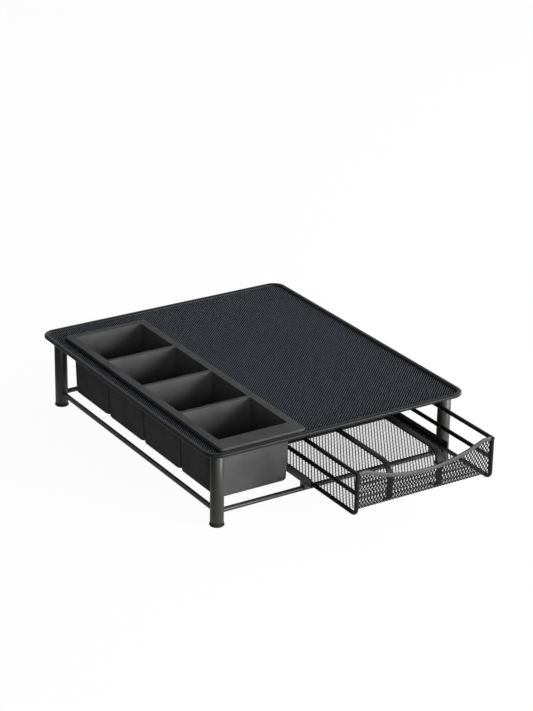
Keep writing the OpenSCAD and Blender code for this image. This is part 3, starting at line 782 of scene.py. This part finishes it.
class PODSTAND_OT_side_wires(bpy.types.Operator):
    """The bent hoops and the straight wires of the drawer's sides"""

    bl_idname = "podstand.side_wires"
    bl_label = "Side wires"

    def execute(self, context):
        coat = finish_named("wire_coat")
        for side in ("left", "right"):
            finish(self.hoop(side), "drawer", coat, ["hoop_" + side])
            for node in ("top_wire_" + side, "mid_wire_" + side):
                lo, hi = node_box(node)
                x, z = (lo.x + hi.x) / 2, (lo.z + hi.z) / 2
                piece = bar(node + "_coated", (x, lo.y, z), (x, hi.y, z), WIRE_R, WIRE_EDGE)
                finish(piece, "drawer", coat, [node])
        for node in ("cross_wire_mid", "cross_wire_rear"):
            lo, hi = node_box(node)
            y, z = (lo.y + hi.y) / 2, (lo.z + hi.z) / 2
            piece = bar(node + "_coated", (lo.x, y, z), (hi.x, y, z), (hi.z - lo.z) / 2,
                        ROD_EDGE, CROSS_SIDES)
            finish(piece, "drawer", coat, [node])
        return {"FINISHED"}

    def hoop(self, side):
        """One wire down the front post, back along the floor and up the rear post."""
        lo, hi = node_box("hoop_" + side)
        x, low = (lo.x + hi.x) / 2, lo.z + WIRE_R + HOOP_BEND_R
        top = node_box("top_wire_" + side)[0].z + WIRE_R
        front, back = POST_Y + HOOP_BEND_R, REAR_POST_Y - HOOP_BEND_R
        piece = ring_section("hoop_wire_" + side, WIRE_R, (x, POST_Y, top), HOOP_SIDES)
        go(0, 0, low - top)
        spin(RIGHT_ANGLE, (x, front, low), (1, 0, 0), BEND_STEPS)
        go(0, back - front, 0)
        spin(RIGHT_ANGLE, (x, back, low), (1, 0, 0), BEND_STEPS)
        go(0, 0, top - low)
        close_mesh()
        return piece


def dip_numbers():
    """Half the dip's width, its arc's radius and the angle that its shoulders turn by."""
    half = END_HALF - DIP_FLAT
    radius = (half * half + DIP_H * DIP_H) / (2 * DIP_H) - SHOULDER_R
    return half, radius, math.asin(half / (radius + SHOULDER_R))


def dip_z(x):
    """Height of the dipped front edge, x from the drawer's middle."""
    half, radius, _ = dip_numbers()
    x = abs(x)
    if x >= half:
        return DRAWER_TOP
    if x > half * radius / (radius + SHOULDER_R):
        return DRAWER_TOP - SHOULDER_R + math.sqrt(SHOULDER_R**2 - (half - x) ** 2)
    return DRAWER_TOP - DIP_H + radius - math.sqrt(radius**2 - x * x)


class PODSTAND_OT_end_bands(bpy.types.Operator):
    """The band that dips along the drawer's front, and the straight one at its back"""

    bl_idname = "podstand.end_bands"
    bl_label = "End bands"

    def execute(self, context):
        half, radius, angle = dip_numbers()
        shoulder_z = DRAWER_TOP - SHOULDER_R
        piece = self.section("front_band_strip", POST_Y)
        go(DIP_FLAT + BAND_LAP, 0, 0)
        spin(angle, (DRAWER_X - half, POST_Y, shoulder_z), (0, 1, 0), SHOULDER_STEPS)
        middle = (DRAWER_X, POST_Y, DRAWER_TOP - DIP_H + radius)
        spin(-2 * angle, middle, (0, 1, 0), DIP_STEPS)
        spin(angle, (DRAWER_X + half, POST_Y, shoulder_z), (0, 1, 0), SHOULDER_STEPS)
        go(DIP_FLAT + BAND_LAP, 0, 0)
        self.close(piece, "front_band")
        piece = self.section("rear_band_strip", REAR_POST_Y)
        go(2 * (END_HALF + BAND_LAP), 0, 0)
        self.close(piece, "rear_band")
        return {"FINISHED"}

    def section(self, name, y):
        """The band's section, a lap inside the left posts."""
        at = (DRAWER_X - END_HALF - BAND_LAP, y, DRAWER_TOP - BAND_H / 2)
        return strap_section(name, BAND_H, BAND_T, at, (0, RIGHT_ANGLE, 0), BAND_ROUND)

    def close(self, piece, node):
        close_mesh()
        # The bands' coat is the wire coat painted lighter, as painted light.
        finish(piece, "drawer", finish_named("band_coat"), [node], 50)


class PODSTAND_OT_basket_sheet(bpy.types.Operator):
    """The basket's expanded metal: floor, front and back in one sheet with two bends"""

    bl_idname = "podstand.basket_sheet"
    bl_label = "Basket sheet"

    def execute(self, context):
        sizes = context.scene.pod_stand_sizes
        step = RIGHT_ANGLE / BASKET_BENDS
        # How far a bend of one row a step carries the sheet, in rows.
        reach = sum(math.cos(step * i) for i in range(1, BASKET_BENDS))
        depth = REAR_POST_Y - POST_Y
        rows = round((depth / (sizes.basket_along / MM / 2)) - 2 * reach)
        pitch = depth / (rows + 2 * reach)
        z = (FLOOR_LO.z + FLOOR_HI.z) / 2
        front_line = POST_Y + reach * pitch
        back_line = front_line + rows * pitch
        rise = math.ceil((DRAWER_TOP - z) / pitch) + BASKET_BENDS
        piece = diamond_net("basket_sheet", FLOOR_LO.x, FLOOR_HI.x, front_line - rise * pitch,
                            back_line + rise * pitch, sizes.basket_across / MM, 2 * pitch, z,
                            sizes.basket_strand, sizes.basket_lean, DRAWER_X)
        for line, side in ((front_line, -1), (back_line, 1)):
            for out in (-1, 1):
                # The wall, with the faces that start just before its bend.
                pick(lambda p: (p.y - line) * side > -0.3 * pitch, "FACE")
                bpy.ops.mesh.bisect(plane_co=mm(DRAWER_X + out * END_HALF, 0, 0),
                                    plane_no=(out, 0, 0), clear_outer=True)
            for i in range(BASKET_BENDS - 1, -1, -1):
                y = line + side * i * pitch
                pick(lambda p: (p.y - y) * side > TOUCH)
                turn(side * step, "X", (0, y, z))
        pick(lambda p: p.y < front_line and p.z > dip_z(p.x - DRAWER_X) - BAND_H / 2, "FACE")
        bpy.ops.mesh.delete(type="FACE")
        pick(lambda p: p.y > back_line and p.z > DRAWER_TOP - BAND_H / 2, "FACE")
        bpy.ops.mesh.delete(type="FACE")
        thicken(piece, sizes.basket_sheet)
        finish(piece, "drawer", finish_named("basket_coat"),
               ["front_mesh", "floor_mesh", "rear_mesh"], 30)
        return {"FINISHED"}


class PODSTAND_OT_divider(bpy.types.Operator):
    """The flat strap bent into two rails, and the ties between their feet"""

    bl_idname = "podstand.divider"
    bl_label = "Divider rails"

    def execute(self, context):
        coat = finish_named("wire_coat")
        for node in ("rail_left", "rail_right"):
            finish(self.rail(node), "drawer", coat, [node], 40)
        for node in ("rail_tie_front", "rail_tie_rear"):
            lo, hi = node_box(node)
            piece = strap_section(node + "_strap", STRAP_W, STRAP_T,
                                  (lo.x, (lo.y + hi.y) / 2, (lo.z + hi.z) / 2),
                                  (RIGHT_ANGLE, 0, RIGHT_ANGLE), STRAP_ROUND)
            go(hi.x - lo.x, 0, 0)
            close_mesh()
            finish(piece, "drawer", coat, [node], 40)
        return {"FINISHED"}

    def rail(self, node):
        """The strap from its front toe, up, back along the top, down and to its rear toe."""
        r, foot_r = RAIL_R - STRAP_T / 2, RAIL_FOOT_R - STRAP_T / 2
        lo, hi = node_box(node)
        x = (lo.x + hi.x) / 2
        y0, y1 = lo.y + STRAP_T / 2, hi.y - STRAP_T / 2
        low, high = lo.z + STRAP_T / 2, hi.z - STRAP_T / 2
        rise = high - low - foot_r - r
        piece = strap_section(node + "_strap", STRAP_W, STRAP_T, (x, y0 + foot_r + STRAP_W, low),
                              (RIGHT_ANGLE, 0, 0), STRAP_ROUND)
        for straight, bend_y, bend_z, steps in (
                ((0, -STRAP_W, 0), y0 + foot_r, low + foot_r, FOLD_STEPS),
                ((0, 0, rise), y0 + r, high - r, RAIL_STEPS),
                ((0, y1 - y0 - 2 * r, 0), y1 - r, high - r, RAIL_STEPS),
                ((0, 0, -rise), y1 - foot_r, low + foot_r, FOLD_STEPS)):
            go(*straight)
            spin(-RIGHT_ANGLE, (x, bend_y, bend_z), (1, 0, 0), steps)
        go(0, -STRAP_W, 0)
        close_mesh()
        return piece


# ------------------------------------------------------------------ the tray


class PODSTAND_OT_tray(bpy.types.Operator):
    """The moulded tray: a lipped flange over a row of drafted pockets"""

    bl_idname = "podstand.tray"
    bl_label = "Organiser tray"

    def execute(self, context):
        top = TRAY_HI.z
        left, right = TRAY_LO.x + FLANGE_SIDE - TRAY_T, TRAY_HI.x - FLANGE_SIDE + TRAY_T
        front, back = TRAY_LO.y + FLANGE_FRONT - TRAY_T, TRAY_HI.y - FLANGE_SIDE + TRAY_T
        length = (back - front) / POCKETS
        fronts = [front + i * length for i in range(POCKETS)]
        piece = round_slab("organiser_tray", (TRAY_LO.x, TRAY_LO.y), (TRAY_HI.x, TRAY_HI.y),
                           top - FLANGE_H, top, FLANGE_R, 5)
        inner = round_slab("flange_hollow", (TRAY_LO.x + LIP_T, TRAY_LO.y + LIP_T),
                           (TRAY_HI.x - LIP_T, TRAY_HI.y - LIP_T),
                           top - FLANGE_H - PAST, top - TRAY_T, FLANGE_INNER_R, 5)
        boolean(piece, inner, "DIFFERENCE")
        for y in fronts:
            shell = self.cup("pocket_shell", (left, y - POCKET_LAP),
                             (right, y + length + POCKET_LAP),
                             TRAY_LO.z, top - TRAY_T / 2, POCKET_R, SHELL_FLOOR_R)
            boolean(piece, shell, "UNION")
        for y in fronts:
            hollow = self.cup("pocket_hollow", (left + TRAY_T, y + TRAY_T),
                              (right - TRAY_T, y + length - TRAY_T),
                              TRAY_LO.z + TRAY_T, top, POCKET_R - TRAY_T, HOLLOW_FLOOR_R, PAST)
            boolean(piece, hollow, "DIFFERENCE")
        apply_modifier(piece, "BEVEL", width=context.scene.pod_stand_sizes.edge, segments=2,
                       limit_method="ANGLE", angle_limit=math.radians(50))
        finish(piece, "tray", finish_named("tray_plastic"), ["tray"], 40)
        return {"FINISHED"}

    def cup(self, name, lo, hi, bottom, top, radius, floor_r, over=0.0):
        """A drafted cup, from its mouth down to its rounded floor."""
        deselect()
        middle = ((lo[0] + hi[0]) / 2, (lo[1] + hi[1]) / 2)
        width, length = hi[0] - lo[0], hi[1] - lo[1]
        bpy.ops.mesh.primitive_plane_add(size=MM, location=mm(*middle, top))
        piece = begin(name, (width, length, 1))
        bpy.ops.mesh.bevel(offset=radius * MM, offset_pct=0, segments=BEND_STEPS,
                           affect="VERTICES")
        bpy.ops.mesh.select_all(action="SELECT")
        if over:
            go(0, 0, over)
            pick(lambda p: abs(p.z - top) < TOUCH, "FACE")
        draft = TRAY_TAPER / (TRAY_HI.z - TRAY_LO.z)
        depth = top - bottom - floor_r
        now = [width, length]
        self.step(now, depth, draft * depth)
        for i in range(CUP_BENDS):
            a0, a1 = RIGHT_ANGLE * i / CUP_BENDS, RIGHT_ANGLE * (i + 1) / CUP_BENDS
            self.step(now, floor_r * (math.sin(a1) - math.sin(a0)),
                      floor_r * (math.cos(a0) - math.cos(a1)) * CUP_DRAW)
        face_out()
        leave()
        return piece

    def step(self, now, drop, inwards):
        """Extrudes the face down and draws it in on all sides."""
        go(0, 0, -drop)
        sx, sy = 1 - 2 * inwards / now[0], 1 - 2 * inwards / now[1]
        bpy.ops.transform.resize(value=(sx, sy, 1))
        now[0] *= sx
        now[1] *= sy


# ------------------------------------------------------------------ the stage


class PODSTAND_OT_studio(bpy.types.Operator):
    """The camera, the pale floor and the soft lamps"""

    bl_idname = "podstand.studio"
    bl_label = "Studio"

    def execute(self, context):
        self.camera(context)
        self.floor(context)
        self.world(context)
        for name, numbers in LAMPS.items():
            self.lamp(name, *numbers)
        context.scene.view_settings.view_transform = "Standard"
        return {"FINISHED"}

    def camera(self, context):
        azimuth, elevation, roll = (math.radians(v) for v in (AZIMUTH, ELEVATION, ROLL))
        place = mm(*CAMERA_PLACE)
        bpy.ops.object.camera_add(location=place)
        camera = context.object
        camera.name = "photo_camera"
        back = Vector((math.sin(azimuth) * math.cos(elevation),
                       -math.cos(azimuth) * math.cos(elevation), math.sin(elevation)))
        right = Vector((math.cos(azimuth), math.sin(azimuth), 0))
        up = back.cross(right)
        level = math.cos(roll) * right + math.sin(roll) * up
        upright = -math.sin(roll) * right + math.cos(roll) * up
        turned = camera.matrix_world.to_3x3()
        turned.col[0], turned.col[1], turned.col[2] = level, upright, back
        camera.matrix_world = turned.to_4x4()
        camera.location = place
        camera.data.sensor_width = SENSOR
        camera.data.lens = FOCAL_PIXELS * SENSOR / PHOTO_PIXELS
        camera.data.clip_start, camera.data.clip_end = NEAR_CLIP, FAR_CLIP
        context.scene.camera = camera

    def floor(self, context):
        deselect()
        bpy.ops.mesh.primitive_plane_add(size=FLOOR_SIZE)
        floor = begin("studio_floor")
        leave()
        material, nodes, links, shader, place = new_material("studio_white")
        colour = context.scene.pod_stand_finishes.floor
        shader.inputs["Base Color"].default_value = (*colour, 1)
        shader.inputs["Roughness"].default_value = FLOOR_ROUGHNESS
        shader.inputs["Specular IOR Level"].default_value = FLOOR_GLOSS
        glow = nodes.new("ShaderNodeEmission")
        glow.inputs["Strength"].default_value = FLOOR_GLOW
        parts = nodes.new("ShaderNodeSeparateXYZ")
        links.new(place.outputs["Object"], parts.inputs[0])
        lit = ramp(nodes, links, parts.outputs["X"], FLOOR_LEFT, FLOOR_RIGHT, FLOOR_DIM,
                   FLOOR_LIT)
        straight, mirrored = self.rays(nodes, links)
        mirrored = calc(nodes, links, "MULTIPLY", mirrored, lit)
        share = calc(nodes, links, "MULTIPLY_ADD", straight, FLOOR_SEEN, mirrored)
        self.blend(nodes, links, share, shader.outputs["BSDF"], glow.outputs["Emission"],
                   nodes["Material Output"])
        floor.data.materials.append(material)

    def world(self, context):
        world = context.scene.world or bpy.data.worlds.new("studio")
        context.scene.world = world
        world.use_nodes = True
        nodes, links = world.node_tree.nodes, world.node_tree.links
        nodes.clear()
        grounds = []
        for strength in (SOFT_LIGHT, 1.0):
            ground = nodes.new("ShaderNodeBackground")
            ground.inputs["Color"].default_value = (1, 1, 1, 1)
            ground.inputs["Strength"].default_value = strength
            grounds.append(ground.outputs["Background"])
        place = nodes.new("ShaderNodeTexCoord")
        behind = along_way(nodes, links, place.outputs["Generated"], SWEEP_WAY)
        sweep = ramp(nodes, links, behind, 0, SWEEP_WHOLE, 0, SWEEP_SHARE)
        straight, mirrored = self.rays(nodes, links)
        share = calc(nodes, links, "MULTIPLY_ADD", mirrored, sweep, straight)
        self.blend(nodes, links, share, *grounds, nodes.new("ShaderNodeOutputWorld"))

    def rays(self, nodes, links):
        """1 for what is seen straight or through something clear, and 1 for what is mirrored."""
        path = nodes.new("ShaderNodeLightPath")
        straight = calc(nodes, links, "MAXIMUM", path.outputs["Is Camera Ray"],
                        path.outputs["Is Transmission Ray"])
        return straight, path.outputs["Is Glossy Ray"]

    def blend(self, nodes, links, share, plain, seen, out):
        made = nodes.new("ShaderNodeMixShader")
        links.new(share, made.inputs["Fac"])
        links.new(plain, made.inputs[1])
        links.new(seen, made.inputs[2])
        links.new(made.outputs["Shader"], out.inputs["Surface"])

    def lamp(self, name, place, target, size, power, colour):
        bpy.ops.object.light_add(type="AREA", location=place)
        lamp = bpy.context.object
        lamp.name = name
        lamp.rotation_euler = (Vector(place) - Vector(target)).to_track_quat("Z", "Y").to_euler()
        lamp.data.size = size
        lamp.data.energy = power
        lamp.data.color = colour


# ------------------------------------------------------------------ panel and register

PIECES = (
    PODSTAND_OT_studio, PODSTAND_OT_plate_rim, PODSTAND_OT_plate_mesh, PODSTAND_OT_cutout_hem,
    PODSTAND_OT_legs, PODSTAND_OT_frame_rods, PODSTAND_OT_runners, PODSTAND_OT_side_wires,
    PODSTAND_OT_end_bands, PODSTAND_OT_basket_sheet, PODSTAND_OT_divider, PODSTAND_OT_tray,
)


class PODSTAND_PT_panel(bpy.types.Panel):
    """Lists the pieces of the stand"""

    bl_idname = "PODSTAND_PT_panel"
    bl_label = "Pod drawer stand"
    bl_space_type = "VIEW_3D"
    bl_region_type = "UI"
    bl_category = "Pod drawer"

    def draw(self, context):
        for group in (context.scene.pod_stand_sizes, context.scene.pod_stand_finishes):
            for key in group.bl_rna.properties.keys():
                if key not in ("rna_type", "name"):
                    self.layout.prop(group, key)
        for piece in PIECES:
            self.layout.operator(piece.bl_idname)


CLASSES = (PodStandSizes, PodStandFinishes, *PIECES, PODSTAND_PT_panel)


def register():
    for made in CLASSES:
        bpy.utils.register_class(made)
    bpy.types.Scene.pod_stand_sizes = bpy.props.PointerProperty(type=PodStandSizes)
    bpy.types.Scene.pod_stand_finishes = bpy.props.PointerProperty(type=PodStandFinishes)


def unregister():
    del bpy.types.Scene.pod_stand_finishes
    del bpy.types.Scene.pod_stand_sizes
    for made in reversed(CLASSES):
        bpy.utils.unregister_class(made)


def main():
    register()
    for piece in PIECES:
        group, call = piece.bl_idname.split(".")
        getattr(getattr(bpy.ops, group), call)()
    bpy.context.view_layer.update()


if __name__ == "__main__":
    main()
